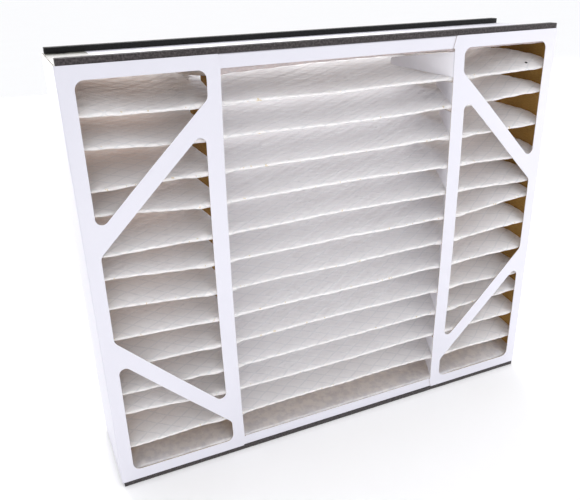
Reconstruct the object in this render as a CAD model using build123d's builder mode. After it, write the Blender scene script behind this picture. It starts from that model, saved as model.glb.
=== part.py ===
"""Pleated panel air filter: a folded sheet of filter cloth in a die-cut board frame.

Millimetres. +Z is up and the filter stands on its two bottom foam strips.
+X runs along the pleats, and the air enters at the front face, on the -Y side.
The origin is under the middle of the filter, level with the bottom foam.
"""
import os
from math import asin, atan2, cos, hypot, radians, sin, tan

from build123d import *

os.makedirs("parts", exist_ok=True)

# Outside size of the board frame, without the foam: 24 1/8 x 19 5/8 x 4 7/8 inches
width = 612.8
height = 498.5
depth = 123.8
board = 0.8            # thickness of the frame's board
bend = 1.0             # radius in the middle of the board at its folds

# Foam strips along the long edges
foam_wide = 12.0
foam_thick = 6.3
foam_short = 2.4       # how far each strip stops short of the frame's end
foam_round = 0.8

# Front and back faces
lip = 14.5             # height of the rails' lips
border = 16.0          # board left beside the end wall
bar_edge = 148.0       # middle of the filter to a bar's inner edge
bar_wide = 15.0        # a bar beside the corner windows
bar_wide_middle = 19.0  # a bar beside the middle window
strut_wide = 18.4      # the struts run at 45 degrees
strut_start = 29.0     # a corner window's inner edge, from the lip down to its strut
square_round = 9.5     # corner radii of the windows
wide_round = 10.0
sharp_round = 7.0
mitre_in = 2.0         # the bar's end laps this far over the lip's length
mitre_out = 2.0        # and is cut back this far at the frame's edge

# Pleated cloth
pitch = 36.0
front_folds = 14
cloth = 2.0            # thickness
cloth_deep = 120.0     # over the folds, front to back
fold_round = 1.4       # radius in the middle of the cloth at each fold
tail = 11.0            # the cloth's two ends run up and down behind the front lips

# Comb teeth, pushed in from the bars' inner edges to space the pleats
tooth_long = 85.0
tooth_root = 30.0      # height at the bar
tooth_end = 9.0        # height at the blunt end
tooth_round = 2.5
# Swing of each tooth away from straight back, in degrees from the bottom tooth up.
# Plus is towards the end wall.
swing_front_left = [9, 9, 8, 9, 10, 9, 8, 9, 10, 10, 9, 7, -3]
swing_front_right = [23, 22, 37, 25, 40, 35, 40, 35, 24, 38, 27, 23, -30]
swing_back = [12] * 12

# Worked-out places
base = foam_thick                      # underside of the board frame
middle_z = base + height / 2
wall_x = width / 2
face_y = depth / 2
lowest_fold = middle_z - pitch * (front_folds - 1) / 2
fold_zs = [lowest_fold + pitch * i for i in range(front_folds)]

# Frame rails: a channel of board along the top and the bottom, inside the end caps
rail_face = face_y - board             # outer side of the rail's lips
rail_long = width - board - 2 * bend   # clear of the round folds between end wall and face
for name, edge_z, inward in (("top_rail", base + height, -1), ("bottom_rail", base, 1)):
    web_z = edge_z + inward * board / 2
    lip_z = edge_z + inward * lip
    lip_y = rail_face - board / 2
    with BuildPart() as rail:
        with BuildSketch(Plane.YZ.offset(-rail_long / 2)):
            with BuildLine(mode=Mode.PRIVATE) as fold:
                front = [(-lip_y, lip_z), (-lip_y, web_z)]
                back = [(lip_y, web_z), (lip_y, lip_z)]
                FilletPolyline(front + back, radius=bend)
            trace(fold.line, line_width=board)
        extrude(amount=rail_long)
    rail.part.label = name
    export_step(rail.part, f"parts/{name}.step")


def corner_window(side, up):
    """One corner window: square at the lip, cut off by the strut below."""
    lip_z = middle_z + up * (height / 2 - lip)
    inner_x = bar_edge + bar_wide
    outer_x = wall_x - border
    inner_z = lip_z - up * strut_start
    outer_z = inner_z - up * (outer_x - inner_x)
    corners = [(inner_x, lip_z), (outer_x, lip_z), (outer_x, outer_z), (inner_x, inner_z)]
    radii = [square_round, square_round, sharp_round, wide_round]
    with BuildSketch() as window:
        with BuildLine():
            FilletPolyline([(side * x, z) for x, z in corners], radius=radii, close=True)
        make_face()
    return window.sketch


def middle_window(side):
    """The window between the two struts, tallest beside the bar."""
    inner_x = bar_edge + bar_wide_middle
    outer_x = wall_x - border
    strut_z = height / 2 - lip - strut_start - strut_wide * 2**0.5
    inner_z = strut_z - (inner_x - bar_edge - bar_wide)
    outer_z = strut_z - (outer_x - bar_edge - bar_wide)
    corners = [(inner_x, inner_z), (outer_x, outer_z), (outer_x, -outer_z), (inner_x, -inner_z)]
    radii = [sharp_round, wide_round, wide_round, sharp_round]
    with BuildSketch() as window:
        with BuildLine():
            FilletPolyline([(side * x, middle_z + z) for x, z in corners], radius=radii, close=True)
        make_face()
    return window.sketch


def bar_trim(side):
    """Waste beside the bar's inner edge, which laps the lips a little and is mitred over them."""
    past_x = bar_edge - 4 * mitre_in
    past_z = height / 2 + board
    upper = [(bar_edge, height / 2 - lip), (bar_edge - mitre_in, height / 2 - lip)]
    upper += [(bar_edge + mitre_out, height / 2), (bar_edge + mitre_out, past_z), (past_x, past_z)]
    lower = [(x, -z) for x, z in reversed(upper)]
    with BuildSketch() as waste:
        with BuildLine():
            Polyline([(side * x, middle_z + z) for x, z in upper + lower], close=True)
        make_face()
    return waste.sketch


def comb(side, face, zs, swings):
    """The tapered teeth of one comb, each folded back from the bar's edge by its own swing."""
    with BuildPart() as teeth:
        for z, swing in zip(zs, swings):
            swing_x = side * sin(radians(swing))
            swing_y = -face * cos(radians(swing))
            hinge = (side * (bar_edge + board / 2), face * (face_y - board / 2), z)
            upright = Plane(origin=hinge, x_dir=(swing_x, swing_y, 0), z_dir=(swing_y, -swing_x, 0))
            with BuildSketch(upright) as tooth:
                with BuildLine():
                    root = tooth_root / 2
                    end = tooth_end / 2
                    Polyline((0, -root), (tooth_long, -end), (tooth_long, end), (0, root), close=True)
                make_face()
                fillet(tooth.vertices().group_by(Axis.X)[-1], radius=tooth_round)
            extrude(amount=board / 2, both=True)
    return teeth.part


# End caps: each is one folded blank, an end wall with a windowed face and a comb at each side
for side, name, swing_front in ((-1, "left", swing_front_left), (1, "right", swing_front_right)):
    waste = [corner_window(side, 1), corner_window(side, -1), middle_window(side), bar_trim(side)]
    front_comb = comb(side, -1, [z + pitch / 2 for z in fold_zs[:-1]], swing_front)
    back_comb = comb(side, 1, fold_zs[1:-1], swing_back)
    with BuildPart() as end_cap:
        with BuildSketch(Plane.XY.offset(base)):
            with BuildLine(mode=Mode.PRIVATE) as fold:
                flat_y = face_y - board / 2
                edge_x = side * (bar_edge - mitre_in)
                flat_x = side * (wall_x - board / 2)
                front = [(edge_x, -flat_y), (flat_x, -flat_y)]
                back = [(flat_x, flat_y), (edge_x, flat_y)]
                FilletPolyline(front + back, radius=bend)
            trace(fold.line, line_width=board)
        extrude(amount=height)
        with BuildSketch(Plane.XZ):
            add(waste)
        extrude(amount=depth, both=True, mode=Mode.SUBTRACT)
        add(front_comb)
        add(back_comb)
    end_cap.part.label = f"{name}_end_cap"
    export_step(end_cap.part, f"parts/{name}_end_cap.step")

# Pleated cloth: one sheet, folded over alternate round noses and glued in along its four edges
nose_y = cloth_deep / 2 - cloth / 2 - fold_round   # centre of each fold's round nose
rise = atan2(pitch / 2, 2 * nose_y)
slope = rise - asin(2 * fold_round / hypot(pitch / 2, 2 * nose_y))
corner_y = nose_y + fold_round / sin(slope)        # where the straight panels would meet
tail_y = rail_face - board - cloth / 2
tail_turn = (corner_y - tail_y) * tan(slope)       # the end panels slope as the others do
with BuildPart() as pleated_media:
    with BuildSketch(Plane.YZ.offset(-wall_x + board)):
        with BuildLine(mode=Mode.PRIVATE) as sheet:
            zigzag = [(-tail_y, fold_zs[0] - tail), (-tail_y, fold_zs[0] + tail_turn)]
            zigzag += [(corner_y, fold_zs[0] + pitch / 2)]
            for z in fold_zs[1:-1]:
                zigzag += [(-corner_y, z), (corner_y, z + pitch / 2)]
            zigzag += [(-tail_y, fold_zs[-1] - tail_turn), (-tail_y, fold_zs[-1] + tail)]
            FilletPolyline(*zigzag, radius=fold_round)
        trace(sheet.line, line_width=cloth)
    extrude(amount=width - 2 * board)
pleated_media.part.label = "pleated_media"
export_step(pleated_media.part, "parts/pleated_media.step")

# Foam strips: one along each long edge of the frame, flush with the faces
for level, under_z, round_group in (("top", base + height, -1), ("bottom", 0, 0)):
    for face, face_name in ((-1, "front"), (1, "back")):
        with BuildPart() as gasket:
            strip_y = face * (face_y - foam_wide / 2)
            with BuildSketch(Plane.YZ.offset(-wall_x + foam_short)) as strip:
                with Locations((strip_y, under_z + foam_thick / 2)):
                    Rectangle(foam_wide, foam_thick)
                fillet(strip.vertices().group_by(Axis.Y)[round_group], radius=foam_round)
            extrude(amount=width - 2 * foam_short)
        gasket.part.label = f"gasket_{level}_{face_name}"
        export_step(gasket.part, f"parts/gasket_{level}_{face_name}.step")
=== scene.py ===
from math import asin, atan2, cos, hypot, pi, radians, sin, tan

import bmesh
import bpy
from mathutils import Matrix, Vector, noise


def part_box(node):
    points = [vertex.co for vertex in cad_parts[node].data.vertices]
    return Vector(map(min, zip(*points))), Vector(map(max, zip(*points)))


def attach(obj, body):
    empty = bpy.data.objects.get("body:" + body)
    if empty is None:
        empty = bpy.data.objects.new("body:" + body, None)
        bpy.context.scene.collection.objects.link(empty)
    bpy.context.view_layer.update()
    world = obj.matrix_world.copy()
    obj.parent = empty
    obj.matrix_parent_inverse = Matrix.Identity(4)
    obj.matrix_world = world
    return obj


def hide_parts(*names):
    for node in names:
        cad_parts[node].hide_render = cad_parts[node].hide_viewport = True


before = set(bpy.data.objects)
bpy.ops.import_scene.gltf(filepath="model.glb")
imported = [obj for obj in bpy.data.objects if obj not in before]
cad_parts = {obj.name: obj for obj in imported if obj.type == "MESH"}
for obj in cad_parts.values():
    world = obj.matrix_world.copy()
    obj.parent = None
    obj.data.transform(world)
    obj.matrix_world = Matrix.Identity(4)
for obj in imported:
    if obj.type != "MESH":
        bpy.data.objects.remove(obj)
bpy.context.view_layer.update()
mm = 0.001

# The places that the pieces share, all in millimetres, as the solids have them
size = {
    "faceY": 61.9,
    "base": 6.3,
    "height": 498.5,
    "board": 0.8,
    "lip": 14.5,
    "pitch": 36.0,
    "folds": 14,
}
middleZ = size["base"] + size["height"] / 2
lowestFold = middleZ - size["pitch"] * (size["folds"] - 1) / 2


# Small helpers for materials
def startMaterial(name):
    material = bpy.data.materials.new(name)
    material.use_nodes = True
    return material, material.node_tree, material.node_tree.nodes["Principled BSDF"]


def add(tree, kind, *sources, **settings):
    made = tree.nodes.new("ShaderNode" + kind)
    for key, value in settings.items():
        setattr(made, key, value)
    for index, source in enumerate(sources):
        if isinstance(source, bpy.types.NodeSocket):
            tree.links.new(source, made.inputs[index])
        elif source is not None:
            made.inputs[index].default_value = source
    return made


def maths(tree, operation, first, second=0.0):
    return add(tree, "Math", first, second, operation=operation).outputs[0]


def mixColour(tree, factor, first, second):
    made = tree.nodes.new("ShaderNodeMix")
    made.data_type = "RGBA"
    for index, source in ((0, factor), (6, first), (7, second)):
        if isinstance(source, bpy.types.NodeSocket):
            tree.links.new(source, made.inputs[index])
        else:
            made.inputs[index].default_value = source
    return made.outputs[2]


def ramp(tree, value, low, high, start=0.0, end=1.0):
    made = add(tree, "MapRange", value, low, high, start, end)
    made.interpolation_type = "SMOOTHSTEP"
    return made.outputs[0]


# Bump from a height socket
def roughen(tree, shader, heights, distance, strength=1.0):
    bump = tree.nodes.new("ShaderNodeBump")
    bump.inputs["Strength"].default_value = strength
    bump.inputs["Distance"].default_value = distance
    tree.links.new(heights, bump.inputs["Height"])
    tree.links.new(bump.outputs[0], shader.inputs["Normal"])


def noiseOf(tree, place, scale, detail=3.0, roughness=0.55):
    made = tree.nodes.new("ShaderNodeTexNoise")
    made.inputs["Scale"].default_value = scale
    made.inputs["Detail"].default_value = detail
    made.inputs["Roughness"].default_value = roughness
    tree.links.new(place, made.inputs["Vector"])
    return made.outputs[0]


# Small helpers for pieces
def cutThrough(mesh, place, direction, clearOuter=False):
    whole = mesh.verts[:] + mesh.edges[:] + mesh.faces[:]
    bmesh.ops.bisect_plane(mesh, geom=whole, plane_co=place, plane_no=direction, clear_outer=clearOuter)


def finishPiece(name, mesh, materials, replaced=(), smooth=True):
    data = bpy.data.meshes.new(name)
    if smooth:
        for face in mesh.faces:
            face.smooth = True
    mesh.to_mesh(data)
    mesh.free()
    piece = bpy.data.objects.new(name, data)
    bpy.context.scene.collection.objects.link(piece)
    for material in materials:
        data.materials.append(material)
    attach(piece, "root")
    if replaced:
        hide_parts(*replaced)
    return piece


def smoothStep(value, low, high):
    share = min(max((value - low) / (high - low), 0.0), 1.0)
    return share * share * (3 - 2 * share)


# Camera
view = {
    "place": (-0.35514, -0.70624, 0.58106),
    "turn": 23.63269,
    "down": 23.62855,
    "roll": -1.53286,
    "lens": 39.77,
}
cameraData = bpy.data.cameras.new("viewCamera")
cameraData.lens = view["lens"]
cameraData.sensor_width = 36.0
cameraData.clip_end = 50.0
camera = bpy.data.objects.new("viewCamera", cameraData)
bpy.context.scene.collection.objects.link(camera)
camera.matrix_world = (
    Matrix.Translation(Vector(view["place"]))
    @ Matrix.Rotation(radians(-view["turn"]), 4, "Z")
    @ Matrix.Rotation(radians(90 - view["down"]), 4, "X")
    @ Matrix.Rotation(radians(view["roll"]), 4, "Z")
)
bpy.context.scene.camera = camera
print("camera done")


# Board: white coating on the outside of the blank and on the teeth, brown kraft on the other side.
# Places are in metres, and turns are shares of a face's normal.
board = {
    "outward": 0.4,
    "faceY": 0.0604,
    "endX": 0.3035,
    "webZ": 0.2478,
    "toothTurn": -0.3,
    "toothX": 0.29,
    "toothY": 0.0608,
    "cutY": 0.0598,
    "topZ": 0.5,
    "foamGapShadeX": -0.262,
    "dirtX": -0.297,
    "white": ((0.615, 0.61, 0.675, 1), (0.66, 0.655, 0.72, 1)),
    "kraft": ((0.26, 0.13, 0.022, 1), (0.39, 0.22, 0.05, 1)),
    # a lighter copy of the same white coating, painted light on the recessed teeth
    "tooth": (0.80, 0.785, 0.83, 1),
    "cut": (0.50, 0.44, 0.39, 1),
    # painted shade on the web between the foam strips
    "foamGapShade": (0.15, 0.15, 0.13, 1),
    "dirt": (0.01, 0.01, 0.01, 1),
}


def boardMaterial():
    material, tree, shader = startMaterial("coatedBoard")
    place = add(tree, "TexCoord")
    spot = add(tree, "SeparateXYZ", place.outputs["Object"])
    facing = add(tree, "SeparateXYZ", place.outputs["Normal"])
    awayX = maths(tree, "ABSOLUTE", spot.outputs[0])
    awayY = maths(tree, "ABSOLUTE", spot.outputs[1])
    liftZ = maths(tree, "SUBTRACT", spot.outputs[2], middleZ * mm)
    awayZ = maths(tree, "ABSOLUTE", liftZ)
    outX = maths(tree, "MULTIPLY", facing.outputs[0], maths(tree, "SIGN", spot.outputs[0]))
    outY = maths(tree, "MULTIPLY", facing.outputs[1], maths(tree, "SIGN", spot.outputs[1]))
    outZ = maths(tree, "MULTIPLY", facing.outputs[2], maths(tree, "SIGN", liftZ))

    def both(first, second):
        return maths(tree, "MULTIPLY", first, second)

    def over(value, limit):
        return maths(tree, "GREATER_THAN", value, limit)

    def under(value, limit):
        return maths(tree, "LESS_THAN", value, limit)

    frontSide = both(over(outY, board["outward"]), over(awayY, board["faceY"]))
    endSide = both(over(outX, board["outward"]), over(awayX, board["endX"]))
    webSide = both(over(outZ, board["outward"]), over(awayZ, board["webZ"]))
    toothSide = both(under(outX, board["toothTurn"]), under(awayX, board["toothX"]))
    toothSide = both(toothSide, under(awayY, board["toothY"]))
    flatSide = maths(tree, "MAXIMUM", frontSide, endSide)
    coated = maths(tree, "MAXIMUM", flatSide, maths(tree, "MAXIMUM", webSide, toothSide))

    cloudy = noiseOf(tree, place.outputs["Object"], 9.0)
    fine = noiseOf(tree, place.outputs["Object"], 700.0)
    blotchy = noiseOf(tree, place.outputs["Object"], 75.0, 4.0, 0.75)
    stretched = add(tree, "Mapping", place.outputs["Object"])
    stretched.inputs["Scale"].default_value = (1.0, 1.0, 9.0)
    fibres = noiseOf(tree, stretched.outputs[0], 160.0, 4.0, 0.7)
    white = mixColour(tree, cloudy, *board["white"])
    kraft = mixColour(tree, ramp(tree, fibres, 0.3, 0.7), *board["kraft"])

    inPlane = under(maths(tree, "ABSOLUTE", facing.outputs[1]), board["outward"])
    cutEdge = both(inPlane, both(over(awayY, board["cutY"]), under(awayX, board["endX"])))
    brown = mixColour(tree, cutEdge, kraft, board["cut"])

    # The top's left end, between the foam strips, is painted dark grey as painted shade, with dirty dark
    # blotches in it
    upward = both(over(spot.outputs[2], board["topZ"]), over(facing.outputs[2], board["outward"]))
    foamGapShadeMask = both(upward, under(spot.outputs[0], board["foamGapShadeX"]))
    dirty = both(both(foamGapShadeMask, ramp(tree, blotchy, 0.56, 0.60)), over(spot.outputs[0], board["dirtX"]))
    # The teeth take a lighter copy of the face's white coating, as painted light in the recess behind the
    # bars
    white = mixColour(tree, toothSide, white, board["tooth"])
    white = mixColour(tree, foamGapShadeMask, white, board["foamGapShade"])
    white = mixColour(tree, dirty, white, board["dirt"])
    tree.links.new(mixColour(tree, coated, brown, white), shader.inputs["Base Color"])
    tree.links.new(ramp(tree, coated, 0.0, 1.0, 0.85, 0.42), shader.inputs["Roughness"])
    roughen(tree, shader, maths(tree, "ADD", fine, maths(tree, "MULTIPLY", fibres, 0.6)), 0.00012, 0.5)
    return material


coatedBoard = boardMaterial()
for nodeName in ("top_rail", "bottom_rail"):
    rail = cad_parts[nodeName]
    rail.data.materials.clear()
    rail.data.materials.append(coatedBoard)

# End caps: the same folded blanks, with the slight bow that the bars have taken between the lips
bow = {
    "flare": 3.2,
    "lean": -0.5,
    "outward": 3.0,
    "outwardZ": 291.0,
    "outwardReach": 200.0,
    "holdX": 175.0,
    "fadeX": 285.0,
    "toothX": 200.0,
    "cuts": 28,
    "crease": 30.0,
}


# Sideways shift of a bar at a height, in mm towards +X
def barBow(side, z):
    if side < 0:
        share = (z - middleZ) / (size["height"] / 2 - size["lip"])
        return bow["lean"] + bow["flare"] * min(share * share, 1.1)
    share = (z - bow["outwardZ"]) / bow["outwardReach"]
    return bow["outward"] * max(1 - share * share, 0.0)


for nodeName, side in (("left_end_cap", -1), ("right_end_cap", 1)):
    blank = bmesh.new()
    blank.from_mesh(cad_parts[nodeName].data)
    bmesh.ops.remove_doubles(blank, verts=blank.verts[:], dist=0.01 * mm)
    for index in range(1, bow["cuts"]):
        z = (size["base"] + size["height"] * index / bow["cuts"]) * mm
        cutThrough(blank, (0, 0, z), (0, 0, 1))
    for vertex in blank.verts:
        away = abs(vertex.co.x) / mm
        held = 1.0 - smoothStep(away, bow["holdX"], bow["fadeX"])
        behindFace = abs(vertex.co.y) / mm < size["faceY"] - 2 * size["board"]
        if behindFace and away < bow["toothX"]:  # teeth move along with their bar
            held = 1.0
        vertex.co.x += held * barBow(side, vertex.co.z / mm) * mm
    for edge in blank.edges:
        edge.smooth = len(edge.link_faces) == 2 and edge.calc_face_angle() < radians(bow["crease"])
    finishPiece(nodeName.replace("_end_cap", "EndCapBoard"), blank, [coatedBoard], [nodeName])
print("board done")

# Filter cloth: the flat sheet first, with a crease along every strand behind it, then folded
cloth = {
    "halfWide": 305.6,
    "deep": 120.0,
    "thick": 2.0,
    "foldRound": 1.4,
    "tail": 11.0,
    "strandLong": 29.5,
    "strandShort": 19.0,
    "steps": 3,
    "puff": 0.75,
    "wallRise": (3.0, 8.5),
    "tailReach": 60.1,
    "foldReach": 61.0,
    "roofGap": 2.2,
    "swell": 1.6,
    "barPuff": 1.5,
    "tailWave": 0.9,
    "tailRipple": 0.45,
    "tipNear": 1.0,
    "tipFar": 5.0,
    "scoreReach": 14.0,
    "foldCuts": (0.0, 0.25, 0.5, 0.75, 1.0),
    "fleck": (0.2712, -0.0508, 0.4637),
    "fleckInner": 0.0016,
    "fleckOuter": 0.0026,
    "plain": ((0.945, 0.925, 0.928, 1), (0.975, 0.963, 0.967, 1)),
    # the panel below the wire: a darker, cooler grey as painted shade under the pleats above
    "shadedUnbacked": ((0.80, 0.81, 0.87, 1), (0.95, 0.955, 0.985, 1)),
    # painted shade and brown kraft bounce light, deep in the pleats by the end walls
    "side": (0.80, 0.69, 0.62, 1),
    # painted shadow of the top lip on the sheet's top end
    "lipShadowTone": (0.70, 0.62, 0.63, 1),
    "tuft": (0.985, 0.985, 0.985, 1),
    "strand": (0.60, 0.64, 0.69, 1),
    "glue": (0.74, 0.58, 0.26, 1),
    "topRise": 4.5,
}


# Straight runs and round folds of the sheet in the YZ plane, bottom to top, with each piece's start
def makePath():
    noseY = cloth["deep"] / 2 - cloth["thick"] / 2 - cloth["foldRound"]
    across = hypot(size["pitch"] / 2, 2 * noseY)
    slope = atan2(size["pitch"] / 2, 2 * noseY) - asin(2 * cloth["foldRound"] / across)
    cornerY = noseY + cloth["foldRound"] / sin(slope)
    tailY = size["faceY"] - 2 * size["board"] - cloth["thick"] / 2
    turn = (cornerY - tailY) * tan(slope)
    low = lowestFold
    corners = [(-tailY, low - cloth["tail"]), (-tailY, low + turn), (cornerY, low + size["pitch"] / 2)]
    for index in range(1, size["folds"] - 1):
        z = low + size["pitch"] * index
        corners += [(-cornerY, z), (cornerY, z + size["pitch"] / 2)]
    top = low + size["pitch"] * (size["folds"] - 1)
    corners += [(-tailY, top - turn), (-tailY, top + cloth["tail"])]
    runs = []
    folds = []
    along = 0.0
    here = Vector(corners[0])
    for index in range(1, len(corners)):
        corner = Vector(corners[index])
        heading = (corner - Vector(corners[index - 1])).normalized()
        if index == len(corners) - 1:
            runs.append((along, here.copy(), heading, 0.0, (corner - here).length))
            along += (corner - here).length
            break
        after = (Vector(corners[index + 1]) - corner).normalized()
        bend = atan2(heading.x * after.y - heading.y * after.x, heading.dot(after))
        cut = cloth["foldRound"] * tan(abs(bend) / 2)
        start = corner - heading * cut
        runs.append((along, here.copy(), heading, 0.0, (start - here).length))
        along += (start - here).length
        arc = cloth["foldRound"] * abs(bend)
        runs.append((along, start.copy(), heading, bend, arc))
        folds.append((along, arc))
        along += arc
        here = corner + after * cut
    return runs, folds, along


pathRuns, pathFolds, sheetLong = makePath()
print("sheet length", round(sheetLong, 1), "folds", len(pathFolds))


# Point and front-side normal at a distance along the sheet
def placeOnPath(along, lookup):
    while lookup[0] + 1 < len(pathRuns) and pathRuns[lookup[0] + 1][0] <= along:
        lookup[0] += 1
    while lookup[0] > 0 and pathRuns[lookup[0]][0] > along:
        lookup[0] -= 1
    start, here, heading, bend, length = pathRuns[lookup[0]]
    gone = along - start
    if bend == 0.0:
        point = here + heading * gone
        facing = heading
    else:
        share = bend * gone / length
        turnedY = heading.x * cos(share) - heading.y * sin(share)
        turnedZ = heading.x * sin(share) + heading.y * cos(share)
        turned = Vector((turnedY, turnedZ))
        side = 1.0 if bend > 0 else -1.0
        left = Vector((-heading.y, heading.x)) * side * cloth["foldRound"]
        leftNow = Vector((-turned.y, turned.x)) * side * cloth["foldRound"]
        point = here + left - leftNow
        facing = turned
    return point, Vector((-facing.y, facing.x))


# How far each front fold has drifted up or down by the end walls, bottom fold first
drift = {
    "left": [0, -3, 11, 2, 1, 4, 7, 6, -2, 7, -2, 6, 2, 11],
    "leftInner": [0, -1, 2, -1, -1, -1, 0, -1, -3, 0, -1, 0, 0, -4],
    "right": [0, -3, 2, 5, -4, 2, 5, 9, -4, -4, 2, 9, 3, 0],
    "rightInner": [0, 0, 2, 1, 0, 1, 1, 0, -2, -2, 0, 4, 1, 0],
    "innerX": 166.0,
    "outerX": 290.0,
    "topStart": 150.0,
    "topX": 176.0,
    "pinchStart": 278.0,
    "pinchEnd": 304.0,
    "pinch": 8.0,
    "wave": 1.6,
    "ripple": 0.5,
}


def foldDrift(index, x):
    index = min(max(index, 0), size["folds"] - 1)
    sideName = "left" if x < 0 else "right"
    inner = drift[sideName + "Inner"][index] * smoothStep(abs(x), 20, drift["innerX"])
    top = index == size["folds"] - 1
    startX, outerX = (drift["topStart"], drift["topX"]) if top else (drift["innerX"] + 4, drift["outerX"])
    outer = drift[sideName][index] - drift[sideName + "Inner"][index]
    outer = outer * smoothStep(abs(x), startX, outerX)
    wave = noise.noise(Vector((x * 0.011, index * 7.3, 1.7))) * drift["wave"]
    wave = wave + noise.noise(Vector((x * 0.045, index * 3.1, 8.2))) * drift["ripple"]
    if index in (0, size["folds"] - 1):
        wave *= 0.2
    return inner + outer + wave


# Moves flat points (x, distance along, 0) to their place on the folded sheet
def foldSheet(vertices, offset, puffed):
    lookup = [0]
    for vertex in sorted(vertices, key=lambda v: v.co.y):
        x, along = vertex.co.x, vertex.co.y
        point, normal = placeOnPath(along, lookup)
        height = offset
        if puffed:
            first = x / cloth["strandLong"] + along / cloth["strandShort"]
            second = x / cloth["strandLong"] - along / cloth["strandShort"]
            puff = (abs(sin(pi * first)) * abs(sin(pi * second))) ** 0.7
            uneven = 0.75 + 0.5 * noise.noise(Vector((x * 0.03, along * 0.05, 4.0)))
            height += cloth["puff"] * puff * uneven
            if along < strandStart:
                wave = cloth["tailWave"] * noise.noise(Vector((x * 0.09, along * 0.09, 6.0)))
                ripple = cloth["tailRipple"] * noise.noise(Vector((x * 0.25, along * 0.25, 1.0)))
                height += wave + ripple
        y, z = point.x, point.y
        rowPlace = (z - lowestFold) / size["pitch"]
        front = int(round(rowPlace))
        depthShare = min(max((y + 59.0) / 118.0, 0.0), 1.0)
        lower = foldDrift(front, x)
        neighbour = foldDrift(front + (1 if rowPlace > front else -1), x)
        lift = lower * (1 - depthShare) + 0.5 * (lower + neighbour) * depthShare
        bulge = noise.noise(Vector((x * 0.02, front * 5.7 + (2.3 if rowPlace > front else 0.0), 3.3)))
        swell = sin(pi * depthShare) * (cloth["swell"] * bulge) * smoothStep(abs(abs(x) - 165), 15, 60)
        if rowPlace > front and front < size["folds"] - 1:
            rise = cloth["wallRise"][0 if x < 0 else 1]
            rise = rise + (cloth["topRise"] if front == size["folds"] - 2 else 0)
            lift += sin(pi * depthShare ** 0.7) * rise * smoothStep(abs(x), 210, 298)
        pinch = smoothStep(abs(x), drift["pinchStart"], drift["pinchEnd"])
        gap = (rowPlace - front) * size["pitch"]
        closed = pinch * min(abs(gap) * 0.85, drift["pinch"]) * (1 if gap > 0 else -1)
        besideBar = smoothStep(abs(x), 135, 150) - smoothStep(abs(x), 178, 195)
        height += swell + cloth["barPuff"] * besideBar
        tailEnd = along < pathFolds[0][0] or along > pathFolds[-1][0] + pathFolds[-1][1]
        nearestY = cloth["tailReach"] if tailEnd else cloth["foldReach"]
        topZ = size["base"] + size["height"] - cloth["roofGap"]
        y = max(y + normal.x * height, -nearestY)
        z = min(max(z + normal.y * height + lift - closed, size["base"] + cloth["roofGap"]), topZ)
        vertex.co = Vector((x, y, z)) * mm


# A flat sheet whose edges run along the diamond strands
def latticeSheet(steps, firstAlong, lastAlong):
    wide, tall = cloth["strandLong"], cloth["strandShort"]
    reach = cloth["halfWide"] / wide + (lastAlong - firstAlong) / 2 / tall
    cells = int(reach * 2) + 4
    mesh = bmesh.new()
    bmesh.ops.create_grid(mesh, x_segments=cells * steps, y_segments=cells * steps, size=cells / 2)
    middle = round((firstAlong + lastAlong) / 2 / tall) * tall
    for vertex in mesh.verts:
        first, second = vertex.co.x, vertex.co.y
        vertex.co = Vector(((first + second) / 2 * wide, middle + (first - second) / 2 * tall, 0))
    out = []
    for face in mesh.faces:
        centre = face.calc_center_median()
        wanted = firstAlong - tall / 2 < centre.y < lastAlong + tall / 2
        if abs(centre.x) > cloth["halfWide"] + wide / 2 or not wanted:
            out.append(face)
    bmesh.ops.delete(mesh, geom=out, context="FACES")
    for place, direction in (
        ((cloth["halfWide"], 0, 0), (1, 0, 0)),
        ((-cloth["halfWide"], 0, 0), (-1, 0, 0)),
        ((0, firstAlong, 0), (0, -1, 0)),
        ((0, lastAlong, 0), (0, 1, 0)),
    ):
        cutThrough(mesh, place, direction, clearOuter=True)
    return mesh


# Cuts the flat sheet along its fold lines, so that it can turn round them
def scoreFolds(mesh, reach, shares):
    nearby = {index: [] for index in range(len(pathFolds))}
    spacing = [start + arc / 2 for start, arc in pathFolds]
    for face in mesh.faces:
        along = face.calc_center_median().y
        for index in range(len(spacing)):
            if abs(along - spacing[index]) < reach:
                nearby[index].append(face)
                break
    for index, faces in nearby.items():
        geometry = set(faces)
        for face in faces:
            geometry.update(face.edges)
            geometry.update(face.verts)
        geometry = list(geometry)
        start, arc = pathFolds[index]
        for share in shares:
            line = (0, start + arc * share, 0)
            cut = bmesh.ops.bisect_plane(mesh, geom=geometry, plane_co=line, plane_no=(0, 1, 0))
            geometry = list({*geometry, *cut["geom"]})
            geometry = [part for part in geometry if part.is_valid]


strandStart = pathFolds[1][0]
clothMesh = latticeSheet(cloth["steps"], 0.0, sheetLong)
print("cloth grid", len(clothMesh.faces))
scoreFolds(clothMesh, cloth["scoreReach"], cloth["foldCuts"])
print("cloth scored", len(clothMesh.faces))
flatPlace = clothMesh.loops.layers.uv.new("flatPlace")
for face in clothMesh.faces:
    for corner in face.loops:
        flat = corner.vert.co
        corner[flatPlace].uv = (flat.x / cloth["strandLong"], flat.y / cloth["strandShort"])
tipNear = clothMesh.verts.layers.float.new("tipNear")
frontTips = [start + arc / 2 for start, arc in pathFolds[2:-1:2]]
for vertex in clothMesh.verts:
    nearest = min(abs(vertex.co.y - tip) for tip in frontTips)
    vertex[tipNear] = 1.0 - smoothStep(nearest, cloth["tipNear"], cloth["tipFar"])
# Share of painted shade deep in the pleats towards the end walls, stronger on the left
paintedWallShade = clothMesh.verts.layers.float.new("paintedWallShade")
lookup = [0]
for vertex in sorted(clothMesh.verts, key=lambda v: v.co.y):
    deep = (placeOnPath(vertex.co.y, lookup)[0].x + 59.0) / 118.0
    wallShadeReach = smoothStep(abs(vertex.co.x), 140, 230)
    vertex[paintedWallShade] = smoothStep(deep, 0.05, 0.7) * wallShadeReach * (1.0 if vertex.co.x < 0 else 0.45)
foldSheet(clothMesh.verts, 0.0, True)


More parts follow.
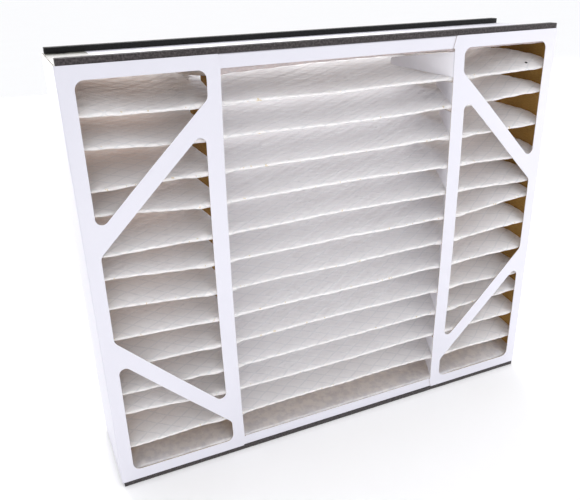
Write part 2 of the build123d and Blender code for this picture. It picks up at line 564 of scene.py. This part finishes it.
def clothMaterial(firstStrand):
    material, tree, shader = startMaterial("filterCloth")
    place = add(tree, "TexCoord")
    flat = add(tree, "UVMap", uv_map="flatPlace")
    drawn = tree.nodes.new("ShaderNodeTexNoise")
    drawn.inputs["Scale"].default_value = 1.3
    drawn.inputs["Detail"].default_value = 2.0
    tree.links.new(flat.outputs[0], drawn.inputs["Vector"])
    pulled = add(tree, "VectorMath", drawn.outputs[1], (0.5, 0.5, 0.5), operation="SUBTRACT")
    pulled = add(tree, "VectorMath", pulled.outputs[0], (0.22, 0.22, 0.0), operation="MULTIPLY")
    moved = add(tree, "VectorMath", flat.outputs[0], pulled.outputs[0], operation="ADD")
    parts = add(tree, "SeparateXYZ", moved.outputs[0])
    nearest = []
    for operation in ("ADD", "SUBTRACT"):
        crossing = maths(tree, operation, parts.outputs[0], parts.outputs[1])
        share = maths(tree, "FRACT", maths(tree, "ADD", crossing, 0.5))
        nearest.append(maths(tree, "ABSOLUTE", maths(tree, "SUBTRACT", share, 0.5)))
    strand = ramp(tree, maths(tree, "MINIMUM", nearest[0], nearest[1]), 0.025, 0.085, 1.0, 0.0)
    backed = ramp(tree, parts.outputs[1], firstStrand, firstStrand + 0.2)
    strand = maths(tree, "MULTIPLY", strand, backed)
    fine = noiseOf(tree, place.outputs["Object"], 1100.0, 2.0)
    tufts = noiseOf(tree, place.outputs["Object"], 240.0, 4.0, 0.6)
    cloudy = noiseOf(tree, place.outputs["Object"], 28.0, 4.0)
    plain = mixColour(tree, ramp(tree, cloudy, 0.3, 0.7), *cloth["plain"])
    # Below the first strand the cloth has no wire behind it, and there it is painted darker and cooler as
    # painted shade under the pleats above, mottled
    mottle = noiseOf(tree, place.outputs["Object"], 110.0, 3.0)
    shadedUnbacked = mixColour(tree, ramp(tree, mottle, 0.35, 0.65), *cloth["shadedUnbacked"])
    plain = mixColour(tree, backed, shadedUnbacked, plain)
    # The deep pleats by the end walls are painted taupe, as painted shade with brown bounce light from
    # the kraft
    wallShades = add(tree, "Attribute", attribute_name="paintedWallShade")
    plain = mixColour(tree, maths(tree, "MULTIPLY", wallShades.outputs[2], 0.65), plain, cloth["side"])
    # The top end of the sheet, just under the top lip, is painted darker as the lip's painted shadow
    lipShadowStart = (sheetLong - cloth["tail"] - 6.0) / cloth["strandShort"]
    lipShadowFull = (sheetLong - cloth["tail"] - 3.0) / cloth["strandShort"]
    plain = mixColour(tree, ramp(tree, parts.outputs[1], lipShadowStart, lipShadowFull), plain, cloth["lipShadowTone"])
    tufted = maths(tree, "MULTIPLY", ramp(tree, tufts, 0.35, 0.65), 0.2)
    mottled = mixColour(tree, tufted, plain, cloth["tuft"])
    lined = mixColour(tree, maths(tree, "MULTIPLY", strand, 0.24), mottled, cloth["strand"])
    fromFleck = add(tree, "VectorMath", place.outputs["Object"], cloth["fleck"], operation="SUBTRACT")
    fromFleck = add(tree, "VectorMath", fromFleck.outputs[0], (1.0, 1.0, 1.7), operation="MULTIPLY")
    fromFleck = add(tree, "VectorMath", fromFleck.outputs[0], operation="LENGTH")
    fleck = ramp(tree, fromFleck.outputs[1], cloth["fleckInner"], cloth["fleckOuter"], 1.0, 0.0)
    lined = mixColour(tree, fleck, lined, (0.015, 0.015, 0.02, 1))
    tips = add(tree, "Attribute", attribute_name="tipNear")
    spots = noiseOf(tree, place.outputs["Object"], 210.0, 1.0)
    glue = maths(tree, "MULTIPLY", tips.outputs[2], ramp(tree, spots, 0.70, 0.75))
    glued = mixColour(tree, maths(tree, "MULTIPLY", glue, 0.55), lined, cloth["glue"])
    tree.links.new(glued, shader.inputs["Base Color"])
    shader.inputs["Roughness"].default_value = 0.95
    shader.inputs["Specular IOR Level"].default_value = 0.1
    heights = maths(tree, "ADD", maths(tree, "MULTIPLY", fine, 0.35), tufts)
    heights = maths(tree, "SUBTRACT", heights, maths(tree, "MULTIPLY", strand, 0.5))
    roughen(tree, shader, heights, 0.0006, 0.7)
    glow = add(tree, "BsdfTranslucent", glued)
    blended = add(tree, "MixShader", 0.6, shader.outputs[0], glow.outputs[0])
    tree.links.new(blended.outputs[0], tree.nodes["Material Output"].inputs[0])
    return material


filterCloth = clothMaterial(strandStart / cloth["strandShort"])
pleats = finishPiece("pleatedCloth", clothMesh, [filterCloth], ["pleated_media"])
print("cloth done", len(pleats.data.polygons))

# Expanded steel mesh behind the cloth, from the second panel up
wire = {
    "strandWide": 1.1,
    "thick": 0.45,
    "behind": -0.9,
    "reachX": 288.0,
    "limitX": 305.8,
    "frontY": -59.5,
    "backY": 61.0,
    "short": 18.0,
    "scoreReach": 22.0,
    "foldCuts": (0.0, 0.5, 1.0),
}


def steelMaterial():
    material, tree, shader = startMaterial("galvanisedSteel")
    place = add(tree, "TexCoord")
    spangle = noiseOf(tree, place.outputs["Object"], 260.0, 3.0)
    tone = mixColour(tree, ramp(tree, spangle, 0.35, 0.65), (0.42, 0.44, 0.46, 1), (0.60, 0.62, 0.65, 1))
    tree.links.new(tone, shader.inputs["Base Color"])
    shader.inputs["Metallic"].default_value = 1.0
    tree.links.new(ramp(tree, spangle, 0.3, 0.7, 0.32, 0.5), shader.inputs["Roughness"])
    return material


wireMesh = latticeSheet(1, strandStart, sheetLong - wire["short"])
whole = wireMesh.faces[:]
inset = wire["strandWide"] / 2
bmesh.ops.inset_individual(wireMesh, faces=whole, thickness=inset, use_even_offset=True)
bmesh.ops.delete(wireMesh, geom=whole, context="FACES")
scoreFolds(wireMesh, wire["scoreReach"], wire["foldCuts"])
foldSheet(wireMesh.verts, wire["behind"], False)
reachX = wire["reachX"] * mm
outside = [face for face in wireMesh.faces if abs(face.calc_center_median().x) > reachX]
bmesh.ops.delete(wireMesh, geom=outside, context="FACES")
print("wire folded", len(wireMesh.faces))
bmesh.ops.recalc_face_normals(wireMesh, faces=wireMesh.faces[:])
bmesh.ops.solidify(wireMesh, geom=wireMesh.faces[:], thickness=wire["thick"] * mm)
for vertex in wireMesh.verts:
    vertex.co.x = min(max(vertex.co.x, -wire["limitX"] * mm), wire["limitX"] * mm)
    vertex.co.y = min(max(vertex.co.y, wire["frontY"] * mm), wire["backY"] * mm)
wirePiece = finishPiece("expandedSteelMesh", wireMesh, [steelMaterial()], smooth=False)
print("wire done", len(wirePiece.data.polygons))

# Foam strips: soft black foam, cut a little unevenly; the front strips take a lighter copy as painted
# light, the back strips a darker copy as painted shade
foam = {"length": 150, "wave": 0.35, "soften": 0.7}


def foamMaterial(name, dark, light):
    material, tree, shader = startMaterial(name)
    place = add(tree, "TexCoord")
    cells = tree.nodes.new("ShaderNodeTexVoronoi")
    cells.inputs["Scale"].default_value = 900.0
    tree.links.new(place.outputs["Object"], cells.inputs["Vector"])
    speckle = noiseOf(tree, place.outputs["Object"], 420.0, 3.0)
    tone = mixColour(tree, ramp(tree, speckle, 0.35, 0.75), dark, light)
    tree.links.new(tone, shader.inputs["Base Color"])
    shader.inputs["Roughness"].default_value = 0.9
    shader.inputs["Sheen Weight"].default_value = 0.08
    roughen(tree, shader, maths(tree, "ADD", cells.outputs[0], speckle), 0.0008, 0.8)
    return material


# Two copies of one black foam: lighter at the front as painted light, darker at the back as painted shade
frontFoam = foamMaterial("frontFoam", (0.022, 0.018, 0.019, 1), (0.080, 0.068, 0.070, 1))
shadedBackFoam = foamMaterial("shadedBackFoam", (0.003, 0.003, 0.003, 1), (0.010, 0.010, 0.011, 1))
for nodeName in ("gasket_top_front", "gasket_top_back", "gasket_bottom_front", "gasket_bottom_back"):
    low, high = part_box(nodeName)
    strip = bmesh.new()
    bmesh.ops.create_cube(strip, size=1.0)
    centre = (low + high) / 2
    span = high - low
    for vertex in strip.verts:
        vertex.co = Vector(vertex.co[i] * span[i] + centre[i] for i in range(3))
    longEdges = []
    for edge in strip.edges:
        if abs(edge.verts[0].co.x - edge.verts[1].co.x) > span.x / 2:
            longEdges.append(edge)
    soften = foam["soften"] * mm
    bmesh.ops.bevel(
        strip, geom=longEdges, offset=soften, affect="EDGES", segments=3, profile=0.5, material=-1
    )
    for index in range(1, foam["length"]):
        x = low.x + span.x * index / foam["length"]
        cutThrough(strip, (x, 0, 0), (1, 0, 0))
    for vertex in strip.verts:
        inward = noise.noise(Vector((vertex.co.x * 40, vertex.co.y * 9, vertex.co.z * 9)))
        side = 1 if vertex.co.y > centre.y else -1
        vertex.co.y -= side * abs(inward) * foam["wave"] * mm
    foamKind = frontFoam if "front" in nodeName else shadedBackFoam
    finishPiece(nodeName.replace("gasket", "foam"), strip, [foamKind], [nodeName])
print("foam done")


# Floor, world and lights
def floorMaterial():
    material, tree, shader = startMaterial("paleFloor")
    place = add(tree, "TexCoord")
    cloudy = noiseOf(tree, place.outputs["Object"], 3.0)
    tone = mixColour(tree, cloudy, (0.94, 0.94, 0.945, 1), (0.965, 0.965, 0.97, 1))
    tree.links.new(tone, shader.inputs["Base Color"])
    shader.inputs["Roughness"].default_value = 0.9
    return material


floorMesh = bmesh.new()
bmesh.ops.create_grid(floorMesh, x_segments=8, y_segments=8, size=30.0)
floorData = bpy.data.meshes.new("floor")
floorMesh.to_mesh(floorData)
floorMesh.free()
floor = bpy.data.objects.new("floor", floorData)
bpy.context.scene.collection.objects.link(floor)
floorData.materials.append(floorMaterial())

world = bpy.data.worlds.new("softWorld")
bpy.context.scene.world = world
world.use_nodes = True
tree = world.node_tree
tree.nodes.clear()
rays = tree.nodes.new("ShaderNodeLightPath")
shown = maths(tree, "MAXIMUM", rays.outputs["Is Camera Ray"], rays.outputs["Is Glossy Ray"])
shown = maths(tree, "MAXIMUM", shown, rays.outputs["Is Transmission Ray"])
ambient = tree.nodes.new("ShaderNodeBackground")
ambient.inputs[0].default_value = (0.98, 0.985, 1.0, 1)
ambient.inputs[1].default_value = 1.04
plainWhite = tree.nodes.new("ShaderNodeBackground")
plainWhite.inputs[0].default_value = (1, 1, 1, 1)
plainWhite.inputs[1].default_value = 1.0
mixer = tree.nodes.new("ShaderNodeMixShader")
tree.links.new(shown, mixer.inputs[0])
tree.links.new(ambient.outputs[0], mixer.inputs[1])
tree.links.new(plainWhite.outputs[0], mixer.inputs[2])
output = tree.nodes.new("ShaderNodeOutputWorld")
tree.links.new(mixer.outputs[0], output.inputs[0])

lamps = [
    ("keyLamp", (0.8, -1.0, 0.16), (0.15, 0.0, 0.15), 0.6, 1.8, (1.0, 0.985, 0.965)),
    ("sideLamp", (0.8, -0.5, 0.35), (0.2, 0.0, 0.25), 0.3, 0.8, (1.0, 0.985, 0.97)),
    ("lowLamp", (-0.2, -0.55, 0.08), (-0.1, 0.0, 0.1), 0.4, 0.6, (1.0, 0.985, 0.97)),
    ("frontLamp", (0.2, -1.7, 2.1), (0.0, 0.0, 0.2), 2.2, 4.0, (1.0, 0.99, 0.985)),
    ("backLamp", (0.2, 2.6, 1.1), (0.0, 0.0, 0.25), 3.0, 120.0, (1.0, 0.98, 0.98)),
]
for lampName, lampPlace, target, lampSize, power, colour in lamps:
    data = bpy.data.lights.new(lampName, "AREA")
    data.shape = "SQUARE"
    data.size = lampSize
    data.energy = power
    data.color = colour
    lamp = bpy.data.objects.new(lampName, data)
    lamp.location = lampPlace
    lamp.rotation_euler = (Vector(target) - Vector(lampPlace)).to_track_quat("-Z", "Y").to_euler()
    lamp.visible_camera = False
    bpy.context.scene.collection.objects.link(lamp)
bpy.context.scene.view_settings.view_transform = "Standard"
print("stage done")
